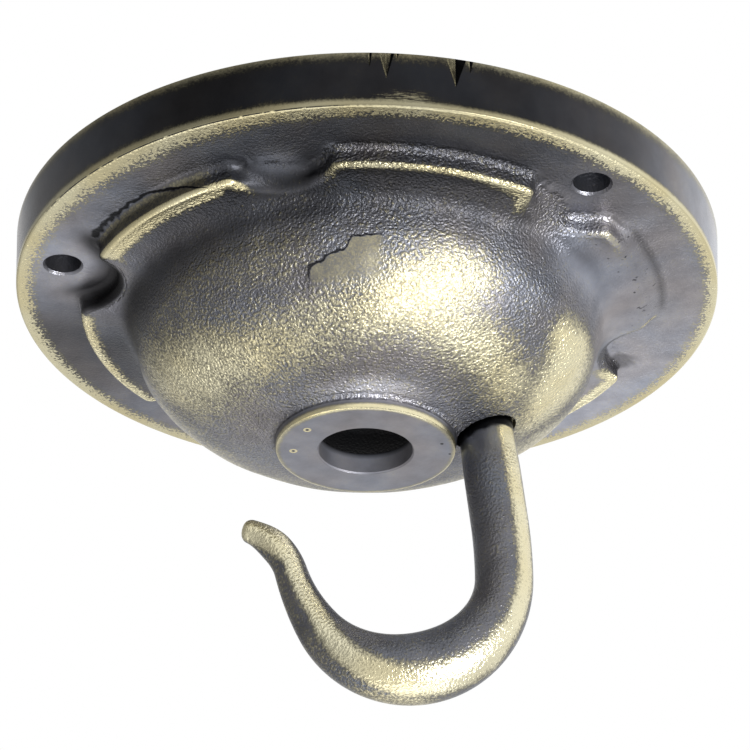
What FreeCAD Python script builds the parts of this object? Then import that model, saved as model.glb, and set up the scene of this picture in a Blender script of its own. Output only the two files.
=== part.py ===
import FreeCAD, Part
import math
import os

V = FreeCAD.Vector

# A cast brass ceiling plate with a hollow dome, a cable hole and a riveted hook.
# Millimetres. Origin at the centre of the ceiling plane, +Z up, the hook's shank on the +X side.

# Plate rim and flange
plate_radius = 60.0
rim_height = 9.8
rim_draft = 0.4
rim_edge_round = 0.5
rim_wall = 4.0
flange_wall = 4.0
flange_width = 11.5

# Raised ring with scallops for the screw heads
ring_radius = plate_radius - flange_width
ring_rise = 3.6
ring_dish = 0.8
ring_top_round = 0.8
ring_foot_round = 1.6
scallop_count = 6
scallop_radius = 9.5
scallop_corner_round = 2.0

# Fixing holes
hole_count = 3
hole_edge_distance = 7.75
hole_circle_radius = plate_radius - hole_edge_distance
hole_radius = 3.0
hole_chamfer = 0.4
first_hole_angle = -46.7
pillar_wall = 3.0

# Dome and the turned boss round the cable hole
ring_ledge = 8.8
dome_radius = ring_radius - ring_ledge
dome_drop = 22.0
dome_skirt = 2.4
dome_foot_round = 1.8
dome_wall = 4.0
boss_radius = 15.0
boss_stand = 2.1
boss_edge = 0.5
boss_foot_round = 1.2
cable_hole_radius = 7.85
cable_hole_length = 3.8
cable_face_margin = 3.2
inner_round = 2.5

# Filed notches at the ceiling edge of the rim
notch_angles = (-87.6, -76.8)
notch_depth = 0.5
notch_length = 4.6
notch_radius = 2.6

# Seat of the hook in the dome
hook_offset = 20.1
hook_lean = 6.8
seat_depth = 2.6
seat_clearance = 0.55
seat_shift = 0.25
spigot_radius = 3.6
spigot_clearance = 0.05
spigot_grip = 4.6
seat_boss_wall = 4.6
rivet_radius = 5.6
rivet_height = 2.4

# Hook path: straight shank, easing bend, bowl, arm and turned-out lip
shank_length = 16.5
ease_radius = 87.0
bowl_radius = 16.35
bowl_sweep = 145.0
arm_radius = 34.5
arm_sweep = 18.5
lip_radius = 11.75
lip_sweep = 58.0

# Hook thickness along the path
root_radius = 4.6
shank_radius = 4.75
bowl_thick_radius = 5.85
arm_thin_radius = 2.65
tip_radius = 1.9
tip_round = 1.5
root_taper = 9.0
thick_at_sweep = 74.0
arm_run_on = 3.0
tip_taper = 7.0
section_spacing = 2.4

# Heights that follow from the sizes above
flange_z = -rim_height
ring_z = flange_z - ring_rise
dome_z = ring_z - dome_skirt
boss_seat_z = dome_z - dome_drop * math.sqrt(1.0 - (boss_radius / dome_radius) ** 2)
boss_z = boss_seat_z - boss_stand
cable_face_z = boss_z + cable_hole_length
cavity_radius = dome_radius - dome_wall
cavity_drop = dome_drop - dome_wall
spare = 2.0 * flange_wall


def polar(radius, degrees, z=0.0):
    angle = math.radians(degrees)
    return V(radius * math.cos(angle), radius * math.sin(angle), z)


def revolve(edges):
    return Part.Face(Part.Wire(edges)).revolve(V(0, 0, 0), V(0, 0, 1), 360)


def chain(points):
    corners = [V(r, 0, z) for r, z in points]
    return [Part.makeLine(a, b) for a, b in zip(corners, corners[1:])]


def quarter_ellipse(width, drop, centre_z, inner_radius):
    # Arc from the widest point down and in to the given radius
    def at(angle):
        return V(width * math.cos(angle), 0, centre_z - drop * math.sin(angle))
    last = math.acos(inner_radius / width)
    steps = 14
    curve = Part.BSplineCurve()
    curve.interpolate([at(last * i / steps) for i in range(steps + 1)])
    return curve.toShape(), at(last)


def circle_edges(shape, radius, z):
    found = []
    for edge in shape.Edges:
        middle = edge.valueAt(0.5 * (edge.FirstParameter + edge.LastParameter))
        if abs(math.hypot(middle.x, middle.y) - radius) < 1e-4 and abs(middle.z - z) < 1e-4:
            found.append(edge)
    return found


# Scalloped outline of the raised ring, seen from below
scallop_angles = [first_hole_angle + 360.0 * i / scallop_count for i in range(scallop_count)]
corner_reach = ring_radius - scallop_corner_round
corner_span = scallop_radius + scallop_corner_round
corner_cos = (hole_circle_radius ** 2 + corner_reach ** 2 - corner_span ** 2)
corner_cos /= 2.0 * hole_circle_radius * corner_reach
corner_angle = math.degrees(math.acos(corner_cos))


def scallop_side(middle_angle, side):
    # Where one rounded corner leaves the ring, its middle, and where it meets the scallop
    scallop_middle = polar(hole_circle_radius, middle_angle)
    corner_middle = polar(corner_reach, middle_angle + side * corner_angle)
    on_ring = polar(ring_radius, middle_angle + side * corner_angle)
    inward = (scallop_middle - corner_middle).normalize()
    on_scallop = corner_middle + inward * scallop_corner_round
    outward = (on_ring - corner_middle).normalize()
    half_way = corner_middle + (outward + inward).normalize() * scallop_corner_round
    return on_ring, half_way, on_scallop


def scalloped_outline():
    edges = []
    for i, angle in enumerate(scallop_angles):
        following = scallop_angles[(i + 1) % scallop_count]
        ring_in, corner_in, scallop_in = scallop_side(angle, -1)
        ring_out, corner_out, scallop_out = scallop_side(angle, 1)
        deepest = polar(hole_circle_radius - scallop_radius, angle)
        edges.append(Part.Arc(ring_in, corner_in, scallop_in).toShape())
        edges.append(Part.Arc(scallop_in, deepest, scallop_out).toShape())
        edges.append(Part.Arc(scallop_out, corner_out, ring_out).toShape())
        next_ring = scallop_side(following, -1)[0]
        between = polar(ring_radius, angle + 180.0 / scallop_count)
        edges.append(Part.Arc(ring_out, between, next_ring).toShape())
    return Part.Wire(edges)


def edges_over(shape, outline, z_low, z_high):
    # Edges that lie on the outline in plan, between two heights
    found = []
    for edge in shape.Edges:
        middle = edge.valueAt(0.5 * (edge.FirstParameter + edge.LastParameter))
        level = abs(edge.Vertexes[0].Z - edge.Vertexes[-1].Z) < 0.5 * ring_rise
        if level and z_low < middle.z < z_high:
            if outline.distToShape(Part.Vertex(middle.x, middle.y, 0))[0] < 1e-3:
                found.append(edge)
    return found


# Rim and flange
lower_radius = plate_radius - rim_draft
rim = revolve(chain([(0, 0), (plate_radius, 0), (lower_radius, flange_z), (0, flange_z), (0, 0)]))
rim = rim.makeFillet(rim_edge_round, circle_edges(rim, lower_radius, flange_z))

# Ring, dome and boss turned as one form
dome_curve, dome_end = quarter_ellipse(dome_radius, dome_drop, dome_z, boss_radius)
buried_z = flange_z + 0.5 * flange_wall
valley_z = ring_z + ring_dish
top_edges = chain([(0, buried_z), (ring_radius, buried_z), (ring_radius, ring_z),
                   (dome_radius, valley_z), (dome_radius, dome_z)])
boss_edges = chain([(boss_radius, dome_end.z), (boss_radius, boss_z + boss_edge),
                    (boss_radius - boss_edge, boss_z), (0, boss_z), (0, buried_z)])
form = revolve(top_edges + [dome_curve] + boss_edges)
form = form.makeFillet(dome_foot_round, circle_edges(form, dome_radius, valley_z))
form = form.makeFillet(boss_foot_round, circle_edges(form, boss_radius, boss_seat_z))

# Scallops cut down to the flange, with rounded edges
outline = scalloped_outline()
prism = Part.Face(outline).extrude(V(0, 0, boss_z - buried_z - 1.0))
prism.translate(V(0, 0, buried_z))
body = rim.fuse(form.common(prism)).removeSplitter()
body = body.makeFillet(ring_top_round, edges_over(body, outline, ring_z - 0.1, flange_z - 0.5 * ring_rise))
body = body.makeFillet(ring_foot_round, edges_over(body, outline, flange_z - 0.1, flange_z + 0.1))

# Hollow back: rim skirt, flange and dome keep their walls
inside_radius = plate_radius - rim_wall
inside_z = flange_z + flange_wall
cavity_curve, cavity_end = quarter_ellipse(cavity_radius, cavity_drop, dome_z, 0.0)
cavity = revolve(chain([(0, spare), (inside_radius, spare), (inside_radius, inside_z),
                        (cavity_radius, inside_z), (cavity_radius, dome_z)])
                 + [cavity_curve] + chain([(0, cavity_end.z), (0, spare)]))
cavity = cavity.makeFillet(inner_round, circle_edges(cavity, inside_radius, inside_z)
                           + circle_edges(cavity, cavity_radius, inside_z))
face_radius = cable_hole_radius + cable_face_margin
cavity = cavity.fuse(Part.makeCylinder(face_radius, -cable_face_z, V(0, 0, cable_face_z)))

# Pillars behind the fixing holes reach the ceiling plane
hole_angles = [first_hole_angle + 360.0 * i / hole_count for i in range(hole_count)]
pillar_radius = hole_radius + pillar_wall
for angle in hole_angles:
    foot = polar(hole_circle_radius, angle, inside_z - inner_round)
    cavity = cavity.cut(Part.makeCylinder(pillar_radius, -foot.z, foot))

# Seat axis of the hook: local z runs from the dome's surface up into the hollow
root_z = dome_z - dome_drop * math.sqrt(1.0 - (hook_offset / dome_radius) ** 2)
root = V(hook_offset, 0, root_z)
seat_place = FreeCAD.Placement(root, FreeCAD.Rotation(V(0, 1, 0), -hook_lean))


def seated(shape):
    shape.Placement = seat_place.multiply(shape.Placement)
    return shape


seat_boss_top = seat_depth + spigot_grip
seat_boss_radius = spigot_radius + seat_boss_wall
cavity = cavity.cut(seated(Part.makeCylinder(seat_boss_radius, seat_boss_top)))
plate = body.cut(cavity)

# Holes, hook pocket and filed notches
plate = plate.cut(Part.makeCylinder(cable_hole_radius, spare - boss_z, V(0, 0, boss_z - 1.0)))
for angle in hole_angles:
    below = polar(hole_circle_radius, angle, flange_z - 1.0)
    plate = plate.cut(Part.makeCylinder(hole_radius, rim_height + 2.0, below))
    mouth = polar(hole_circle_radius, angle, flange_z - hole_chamfer)
    plate = plate.cut(Part.makeCone(hole_radius + 2.0 * hole_chamfer, hole_radius, 2.0 * hole_chamfer, mouth))
pocket_radius = root_radius + seat_clearance
pocket = Part.makeCylinder(pocket_radius, seat_depth + spare, V(0, -seat_shift, -spare))
plate = plate.cut(seated(pocket))
spigot_hole = Part.makeCylinder(spigot_radius + spigot_clearance, seat_boss_top + 2.0, V(0, 0, -1.0))
plate = plate.cut(seated(spigot_hole))
notch_foot_radius = plate_radius - rim_draft * notch_length / rim_height
for angle in notch_angles:
    upper = polar(plate_radius - notch_depth + notch_radius, angle)
    lower = polar(notch_foot_radius + notch_radius, angle, -notch_length)
    along = upper - lower
    plate = plate.cut(Part.makeCylinder(notch_radius, 2.0 * along.Length, lower - along * 0.5, along))
plate = plate.removeSplitter()

# Hook path as straight and circular lengths: length, turn in degrees towards the bowl
lengths = [(seat_depth + shank_length, 0.0),
           (ease_radius * math.radians(hook_lean), hook_lean),
           (bowl_radius * math.radians(bowl_sweep), bowl_sweep),
           (arm_radius * math.radians(arm_sweep), arm_sweep),
           (lip_radius * math.radians(lip_sweep), -lip_sweep)]
path_length = sum(length for length, turn in lengths)


def path_station(distance):
    # Position and heading, in degrees from straight down, at a distance from the shoulder
    shoulder = seat_place.multVec(V(0, 0, seat_depth))
    x, z, heading = shoulder.x, shoulder.z, hook_lean
    for length, turn in lengths:
        part = min(distance, length)
        bend = turn * part / length
        chord = part
        if abs(bend) > 1e-9:
            half = math.radians(bend) / 2.0
            chord = part * math.sin(half) / half
        middle = math.radians(heading - bend / 2.0)
        x += chord * math.sin(middle)
        z -= chord * math.cos(middle)
        heading -= bend
        distance -= part
    return V(x, 0, z), heading


def eased(start, end, share):
    share = min(max(share, 0.0), 1.0)
    return start + (end - start) * (0.5 - 0.5 * math.cos(math.pi * share))


shank_end = lengths[0][0] + lengths[1][0]
thickest = shank_end + lengths[2][0] * thick_at_sweep / bowl_sweep
thin_start = path_length - lengths[4][0] + arm_run_on


def section_radius(distance):
    if distance <= shank_end:
        return eased(root_radius, shank_radius, (distance - seat_depth) / root_taper)
    if distance <= thickest:
        return eased(shank_radius, bowl_thick_radius, (distance - shank_end) / (thickest - shank_end))
    if distance <= thin_start:
        return eased(bowl_thick_radius, arm_thin_radius, (distance - thickest) / (thin_start - thickest))
    return eased(arm_thin_radius, tip_radius, (distance - path_length + tip_taper) / tip_taper)


def section_place(distance):
    # Local z runs along the path towards the tip
    centre, heading = path_station(distance)
    return FreeCAD.Placement(centre, FreeCAD.Rotation(V(0, 1, 0), 180.0 - heading))


def section(distance):
    ring = Part.Wire([Part.makeCircle(section_radius(distance))])
    ring.Placement = section_place(distance)
    return ring


# Hook: body swept along the path, turned tip and spigot, peened head
swept_length = path_length - tip_round
spine_ends = [0.0]
for length, turn in lengths:
    spine_ends.append(min(spine_ends[-1] + length, swept_length))
spine = []
for (length, turn), start, end in zip(lengths, spine_ends, spine_ends[1:]):
    first, middle, last = [path_station(at)[0] for at in (start, 0.5 * (start + end), end)]
    spine.append(Part.Arc(first, middle, last).toShape() if turn else Part.makeLine(first, last))
sweep = Part.BRepOffsetAPI.MakePipeShell(Part.Wire(spine))
sweep.setFrenetMode(True)
section_count = max(8, round(swept_length / section_spacing))
for i in range(section_count + 1):
    sweep.add(section(swept_length * i / section_count), False, False)
sweep.build()
sweep.makeSolid()
tip_start = section_radius(swept_length)
tip_flat = tip_start - tip_round
tip_middle = V(tip_flat + tip_round * math.sqrt(0.5), 0, tip_round * math.sqrt(0.5))
tip_arc = Part.Arc(V(tip_start, 0, 0), tip_middle, V(tip_flat, 0, tip_round))
tip = revolve([tip_arc.toShape()] + chain([(tip_flat, tip_round), (0, tip_round), (0, 0), (tip_start, 0)]))
tip.Placement = section_place(swept_length)
spigot = seated(Part.makeCylinder(spigot_radius, spigot_grip + 0.5 * rivet_height,
                                  V(0, 0, seat_depth)))
cap_radius = (rivet_radius ** 2 + rivet_height ** 2) / (2.0 * rivet_height)
cap_angle = 0.5 * math.asin(rivet_radius / cap_radius)
cap_middle = V(cap_radius * math.sin(cap_angle), 0,
               seat_boss_top + rivet_height - cap_radius * (1.0 - math.cos(cap_angle)))
cap_arc = Part.Arc(V(rivet_radius, 0, seat_boss_top), cap_middle, V(0, 0, seat_boss_top + rivet_height))
head = revolve([cap_arc.toShape()] + chain([(0, seat_boss_top + rivet_height), (0, seat_boss_top),
                                            (rivet_radius, seat_boss_top)]))
hook = sweep.shape().fuse([tip, spigot, seated(head)]).removeSplitter()

os.makedirs("parts", exist_ok=True)
plate.Solids[0].exportStep("parts/ceiling_plate.step")
hook.Solids[0].exportStep("parts/hook.step")
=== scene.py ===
import math
from functools import reduce
from types import SimpleNamespace

import bpy
import numpy as np
from mathutils import Matrix, Vector, noise


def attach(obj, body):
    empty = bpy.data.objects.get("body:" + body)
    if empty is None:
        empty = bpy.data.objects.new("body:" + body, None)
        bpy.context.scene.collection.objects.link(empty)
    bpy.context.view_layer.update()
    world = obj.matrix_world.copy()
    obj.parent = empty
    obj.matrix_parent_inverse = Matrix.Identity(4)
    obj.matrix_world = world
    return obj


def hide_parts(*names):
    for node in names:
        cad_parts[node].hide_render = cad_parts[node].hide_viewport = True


# A ceiling hook in aged cast brass: a domed plate with a cable hole, and a hook riveted into it.
# Sizes are millimetres and degrees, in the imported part's frame; MM turns them into metres.

MM = 0.001

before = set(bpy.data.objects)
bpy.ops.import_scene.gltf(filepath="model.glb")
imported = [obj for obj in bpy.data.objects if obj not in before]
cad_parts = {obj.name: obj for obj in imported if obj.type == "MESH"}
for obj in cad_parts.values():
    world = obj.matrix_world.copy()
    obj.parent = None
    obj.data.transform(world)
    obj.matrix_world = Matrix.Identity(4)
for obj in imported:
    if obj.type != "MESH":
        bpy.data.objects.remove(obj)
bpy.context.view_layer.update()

# Plate rim and flange
plate_radius = 60.0
rim_height = 9.8
rim_draft = 0.4
rim_edge_round = 0.5
ceiling_edge_round = 0.3
rim_wall = 4.0
flange_wall = 4.0

# Raised ring with scallops
ring_radius = 48.5
ring_rise = 3.6
ring_dish = 0.8
ring_top_round = 0.8
ring_foot_round = 1.6
scallop_count = 6
scallop_radius = 9.5
scallop_corner_round = 2.0
first_hole_angle = -46.7

# Fixing holes
hole_count = 3
hole_circle_radius = 52.25
hole_radius = 3.0
hole_chamfer = 0.4
pillar_radius = 6.0

# Dome, boss and cable hole
dome_radius = 39.7
dome_drop = 22.0
dome_skirt = 2.4
dome_foot_round = 1.8
dome_foot_fill = 0.12
dome_wall = 4.0
boss_radius = 15.0
boss_stand = 2.1
boss_edge = 0.5
boss_foot_round = 1.2
cable_hole_radius = 7.85
cable_hole_length = 3.8
cable_face_radius = 11.05
cable_hole_edge = 0.25
inner_round = 2.5

# Hook seat
hook_offset = 20.1
hook_lean = 6.8
seat_depth = 2.6
seat_shift = 0.25
pocket_radius = 5.15
spigot_radius = 3.6
spigot_clearance = 0.05
spigot_grip = 4.6
seat_boss_radius = 8.2
rivet_radius = 5.6
rivet_height = 2.4

# Hook path and thickness
shank_length = 16.5
ease_radius = 87.0
bowl_radius = 16.35
bowl_sweep = 145.0
arm_radius = 34.5
arm_sweep = 18.5
lip_radius = 11.75
lip_sweep = 58.0
root_radius = 4.6
shank_radius = 4.75
bowl_thick_radius = 5.85
arm_thin_radius = 2.65
tip_radius = 1.9
tip_round = 1.5
root_taper = 9.0
thick_at_sweep = 74.0
arm_run_on = 3.0
tip_taper = 7.0

# How fine the meshes are: steps of the ring's edge, of turned solids and of the bar, and sharp angles
pad_steps = 15
corner_steps = 10
scallop_steps = 34
turned_steps = 48
bar_sides = 72
bar_step = 0.36
plate_sharp_angle = 24.0
hook_sharp_angle = 45.0
join_distance = 0.01

# How far added solids and cutters run past the surfaces they meet
pillar_bury = 2.0
ceiling_shy = 0.01
cutter_run = 1.0
pocket_run = 8.0
spigot_run = 3.0

# Softness of the casting: rounds of evening out, its turn from the drawn places, lumps of (height, size)
softening_rounds = 150
wear_turn = 4.0
casting_lumps = [(0.10, 9.0), (0.05, 3.6)]

# Sizes and heights that follow
flange_z = -rim_height
ring_z = flange_z - ring_rise
valley_z = ring_z + ring_dish
dome_z = ring_z - dome_skirt
boss_seat_z = dome_z - dome_drop * math.sqrt(1 - (boss_radius / dome_radius) ** 2)
boss_z = boss_seat_z - boss_stand
cable_face_z = boss_z + cable_hole_length
inside_radius = plate_radius - rim_wall
inside_z = flange_z + flange_wall
cavity_radius = dome_radius - dome_wall
cavity_drop = dome_drop - dome_wall
mid_wall_radius = dome_radius - 0.5 * dome_wall
mid_wall_drop = dome_drop - 0.5 * dome_wall
root_z = dome_z - dome_drop * math.sqrt(1 - (hook_offset / dome_radius) ** 2)
seat_boss_top = seat_depth + spigot_grip
hole_angles = [first_hole_angle + 360 * i / hole_count for i in range(hole_count)]

# Local z of the seat runs from the dome's surface up into the hollow
seat_place = Matrix.Translation((hook_offset, 0, root_z)) @ Matrix.Rotation(-math.radians(hook_lean), 4, "Y")


def smooth(values, low, high):
    # 0 up to the first bound, 1 from the second
    share = np.clip((values - low) / (high - low), 0, 1)
    return share * share * (3 - 2 * share)


def fading(values, full, gone):
    # 1 up to the first bound, 0 from the second
    return 1 - smooth(values, full, gone)


def strongest(layers):
    return np.maximum.reduce(layers)


def new_object(name, vertices, faces):
    mesh = bpy.data.meshes.new(name)
    mesh.from_pydata([[c * MM for c in v] for v in vertices], [], faces)
    mesh.update()
    thing = bpy.data.objects.new(name, mesh)
    bpy.context.scene.collection.objects.link(thing)
    return thing


def points_of(mesh):
    flat = np.zeros(len(mesh.vertices) * 3, np.float32)
    mesh.vertices.foreach_get("co", flat)
    return flat.reshape(-1, 3).astype(float) / MM


def put_points(mesh, points):
    mesh.vertices.foreach_set("co", (points * MM).astype(np.float32).ravel())
    mesh.update()


def normals_of(mesh):
    flat = np.zeros(len(mesh.vertices) * 3, np.float32)
    mesh.vertex_normals.foreach_get("vector", flat)
    return flat.reshape(-1, 3).astype(float)


def paint(mesh, name, values):
    layer = mesh.attributes.new(name, "FLOAT", "POINT")
    layer.data.foreach_set("value", np.asarray(values, np.float32))


def bumps(points, size, seed):
    # Smooth unevenness of a casting, about -1 to 1, with lumps of the given size
    shift = Vector((seed * 17.3, seed * 5.1, seed * 9.7))
    return np.array([noise.noise(Vector(p) / size + shift) for p in points])


def made_plain(thing):
    # Makes the modifiers' result the object's own mesh
    graph = bpy.context.evaluated_depsgraph_get()
    mesh = bpy.data.meshes.new_from_object(thing.evaluated_get(graph))
    thing.modifiers.clear()
    thing.data = mesh
    return mesh


class NodeTree:
    """Builds a node tree: one method adds any node, values carry the arithmetic."""

    def __init__(self, tree):
        self.tree = tree

    def add(self, kind, settings=None, inputs=None, output=0):
        node = self.tree.nodes.new(kind)
        for name, value in (settings or {}).items():
            setattr(node, name, value)
        for name, value in (inputs or {}).items():
            socket = node.inputs[name]
            if isinstance(value, Value):
                self.tree.links.new(value.socket, socket)
            else:
                socket.default_value = value
        return Value(self, node.outputs[output]) if node.outputs else node

    def math(self, operation, *values):
        return self.add("ShaderNodeMath", {"operation": operation}, dict(enumerate(values)))

    def ramp(self, value, low, high):
        # 0 below low, 1 above high, smooth between
        return self.add("ShaderNodeMapRange", {"interpolation_type": "SMOOTHSTEP"},
                        {"Value": value, "From Min": low, "From Max": high})

    def speckle(self, place, size, detail=2.0, rough=0.5, distortion=0.0):
        return self.add("ShaderNodeTexNoise",
                        inputs={"Vector": place, "Scale": 1 / size, "Detail": detail, "Roughness": rough,
                                "Distortion": distortion})

    def mixed(self, share, first, last):
        # Two colours, each a value or three numbers
        first, last = [(*c, 1.0) if isinstance(c, tuple) else c for c in (first, last)]
        return self.add("ShaderNodeMix", {"data_type": "RGBA"}, {0: share, 6: first, 7: last}, output=2)

    def scaled(self, vector, scale):
        return self.add("ShaderNodeVectorMath", {"operation": "SCALE"}, {"Vector": vector, "Scale": scale})

    def vector(self, x, y, z):
        return self.add("ShaderNodeCombineXYZ", inputs={"X": x, "Y": y, "Z": z})

    def parts(self, vector):
        first = self.add("ShaderNodeSeparateXYZ", inputs={"Vector": vector})
        return [Value(self, socket) for socket in first.socket.node.outputs]

    def ray(self, kind):
        return self.add("ShaderNodeLightPath", output=kind)


class Value:
    """A socket whose operators add Math nodes."""

    def __init__(self, maker, socket):
        self.maker, self.socket = maker, socket

    def __add__(self, other):
        return self.maker.math("ADD", self, other)

    def __radd__(self, other):
        return self.maker.math("ADD", other, self)

    def __sub__(self, other):
        return self.maker.math("SUBTRACT", self, other)

    def __rsub__(self, other):
        return self.maker.math("SUBTRACT", other, self)

    def __mul__(self, other):
        return self.maker.math("MULTIPLY", self, other)

    def __rmul__(self, other):
        return self.maker.math("MULTIPLY", other, self)

    def __truediv__(self, other):
        return self.maker.math("DIVIDE", self, other)

    def __rtruediv__(self, other):
        return self.maker.math("DIVIDE", other, self)

    def most(self, other):
        return self.maker.math("MAXIMUM", self, other)

    def least(self, other):
        return self.maker.math("MINIMUM", self, other)

    def size(self):
        return self.maker.math("ABSOLUTE", self)


# Plate: one scallop's sector, repeated round the axis


def arc(centre, radius, from_angle, to_angle, steps, side=1):
    # Plan points and outward normals; side -1 is a hollow arc, whose normals point to its centre
    angles = np.radians(np.linspace(from_angle, to_angle, steps + 1))
    normal = np.stack([np.cos(angles), np.sin(angles)], 1)
    return np.array(centre) + side * radius * normal, normal


corner_reach = ring_radius - scallop_corner_round
corner_span = scallop_radius + scallop_corner_round
corner_angle = math.acos((hole_circle_radius ** 2 + corner_reach ** 2 - corner_span ** 2)
                         / (2 * hole_circle_radius * corner_reach))


def sector_outline():
    # The ring's edge over one scallop and half a pad on either side
    half = 180 / scallop_count
    turn = math.degrees(corner_angle)
    corner = (corner_reach * math.cos(corner_angle), corner_reach * math.sin(corner_angle))
    meet = math.degrees(math.atan2(corner[1], hole_circle_radius - corner[0]))
    runs = [arc((0, 0), ring_radius, -half, -turn, pad_steps),
            arc((corner[0], -corner[1]), scallop_corner_round, -turn, meet, corner_steps),
            arc((hole_circle_radius, 0), scallop_radius, meet, -meet, scallop_steps, -1),
            arc(corner, scallop_corner_round, -meet, turn, corner_steps),
            arc((0, 0), ring_radius, turn, half, pad_steps)]
    plan = np.concatenate([runs[0][0]] + [points[1:] for points, normal in runs[1:]])
    normals = np.concatenate([runs[0][1]] + [normal[1:] for points, normal in runs[1:]])
    return plan, normals


outline, outline_normal = sector_outline()
column_angles = np.arctan2(outline[:, 1], outline[:, 0])


def turned_row(radius, z):
    return np.stack([radius * np.cos(column_angles), radius * np.sin(column_angles),
                     np.full(len(column_angles), float(z))], 1)


def outline_row(offset, z):
    plan = outline + outline_normal * offset
    return np.column_stack([plan, np.broadcast_to(z, len(plan))])


def ring_top(plan):
    # The ring's top slopes down from the dome's foot to its outer edge
    share = (ring_radius - np.hypot(plan[:, 0], plan[:, 1])) / (ring_radius - dome_radius)
    return ring_z + ring_dish * share


def between(first, last, shares):
    return [first + (last - first) * share for share in shares]


def round_rows(centre_r, centre_z, radius, from_angle, to_angle, steps):
    # Rows of a turned fillet, angles measured from outwards towards up
    rows = []
    for angle in np.radians(np.linspace(from_angle, to_angle, steps + 1)):
        rows.append(turned_row(centre_r + radius * math.cos(angle), centre_z + radius * math.sin(angle)))
    return rows


def plate_rows():
    # Rows of points round the sector, from the cable hole out over the face, and back through the hollow
    rows = between(turned_row(cable_hole_radius, cable_face_z),
                   turned_row(cable_hole_radius, boss_z + cable_hole_edge), [0, 0.3, 0.65, 1])
    rows += between(turned_row(cable_hole_radius + cable_hole_edge, boss_z),
                    turned_row(boss_radius - boss_edge, boss_z), [0, 0.05, 0.3, 0.6, 0.9, 1])
    rows += between(turned_row(boss_radius - 0.3 * boss_edge, boss_z + 0.3 * boss_edge),
                    turned_row(boss_radius, boss_z + boss_edge), [0, 1])
    # The dome's surface leaves the boss at this slope, where a fillet joins them
    run = math.sqrt(dome_radius ** 2 - boss_radius ** 2)
    slope = math.atan(dome_drop / dome_radius * boss_radius / run)
    reach = boss_foot_round * math.tan(0.25 * math.pi - 0.5 * slope)
    rows += round_rows(boss_radius + boss_foot_round, boss_seat_z - reach, boss_foot_round,
                       180, 90 - math.degrees(slope), 6)
    start = math.acos((boss_radius + reach) / dome_radius)
    for share in np.linspace(0.05, 1, 38):
        angle = start * (1 - share)
        rows.append(turned_row(dome_radius * math.cos(angle), dome_z - dome_drop * math.sin(angle)))
    foot = dome_radius + dome_foot_round
    foot_z = valley_z - dome_foot_round - dome_foot_fill
    rows += round_rows(foot, foot_z, dome_foot_round, 180, 90, 7)
    top_edge = outline - outline_normal * ring_top_round
    inner_row = turned_row(foot, ring_top(turned_row(foot, 0))[0])
    outer_row = np.column_stack([top_edge, ring_top(top_edge)])
    rows += between(inner_row, outer_row, [0.2, 0.45, 0.65, 0.8, 0.91])
    edge_z = ring_top(outline)
    for angle in np.radians(np.linspace(0, 90, 7)):
        rows.append(outline_row(ring_top_round * (math.sin(angle) - 1),
                                edge_z + ring_top_round * (1 - math.cos(angle))))
    rows.append(outline_row(0, 0.5 * (edge_z + ring_top_round + flange_z - ring_foot_round)))
    for angle in np.radians(np.linspace(0, 90, 8)):
        rows.append(outline_row(ring_foot_round * (1 - math.cos(angle)),
                                flange_z - ring_foot_round * (1 - math.sin(angle))))
    lower_radius = plate_radius - rim_draft
    rows += between(rows[-1], turned_row(lower_radius - rim_edge_round, flange_z),
                    [0.12, 0.27, 0.45, 0.62, 0.75, 0.85, 0.92, 0.97])
    rows += round_rows(lower_radius - rim_edge_round, flange_z + rim_edge_round, rim_edge_round, -90, 0, 5)
    edge_start = turned_row(plate_radius, -ceiling_edge_round)
    rows += between(rows[-1], edge_start, [0.1, 0.2, 0.35, 0.55, 0.75, 0.9])
    rows += round_rows(plate_radius - ceiling_edge_round, -ceiling_edge_round, ceiling_edge_round, 0, 90, 3)
    rows.append(turned_row(0.5 * (plate_radius + inside_radius), 0))
    rows += between(turned_row(inside_radius, 0), turned_row(inside_radius, inside_z), [0, 0.45])
    rows += round_rows(inside_radius - inner_round, inside_z + inner_round, inner_round, 0, -90, 4)
    rows += round_rows(cavity_radius + inner_round, inside_z - inner_round, inner_round, 90, 180, 4)
    rows.append(turned_row(cavity_radius, 0.5 * (inside_z - inner_round + dome_z)))
    last = math.acos(cable_face_radius / cavity_radius)
    for share in np.linspace(0, 1, 12):
        angle = last * share
        rows.append(turned_row(cavity_radius * math.cos(angle), dome_z - cavity_drop * math.sin(angle)))
    rows += between(turned_row(cable_face_radius, cable_face_z), turned_row(cable_hole_radius, cable_face_z),
                    [0, 0.9])
    return rows


def sector_mesh():
    rows = plate_rows()
    columns = len(outline)
    vertices = np.concatenate(rows)
    faces = []
    for j in range(len(rows)):
        below = (j + 1) % len(rows)
        for i in range(columns - 1):
            a, b = j * columns + i, below * columns + i
            faces.append((a, b, b + 1, a + 1))
    return vertices.tolist(), faces


def geometry_tree(name, shape, sizes):
    # A Geometry Nodes tree with a shape and named sizes going in; sizes are {name: (kind, value)}
    tree = bpy.data.node_groups.new(name, "GeometryNodeTree")
    tree.interface.new_socket(shape, in_out="INPUT", socket_type="NodeSocketGeometry")
    settings = {}
    for size, (kind, value) in sizes.items():
        socket = tree.interface.new_socket(size, in_out="INPUT", socket_type=kind)
        settings[socket.identifier] = value
    nodes = NodeTree(tree)
    given = tree.nodes.new("NodeGroupInput")
    return nodes, {s.name: Value(nodes, s) for s in given.outputs if s.name}, settings


def end_tree(nodes, shape, material):
    shape = nodes.add("GeometryNodeSetMaterial", inputs={"Geometry": shape, "Material": material})
    nodes.tree.interface.new_socket("Piece", in_out="OUTPUT", socket_type="NodeSocketGeometry")
    nodes.add("NodeGroupOutput", inputs={0: shape})


def apply_tree(thing, tree, settings):
    modifier = thing.modifiers.new(tree.name, "NODES")
    modifier.node_group = tree
    for identifier, value in settings.items():
        modifier[identifier] = value
    return made_plain(thing)


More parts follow.
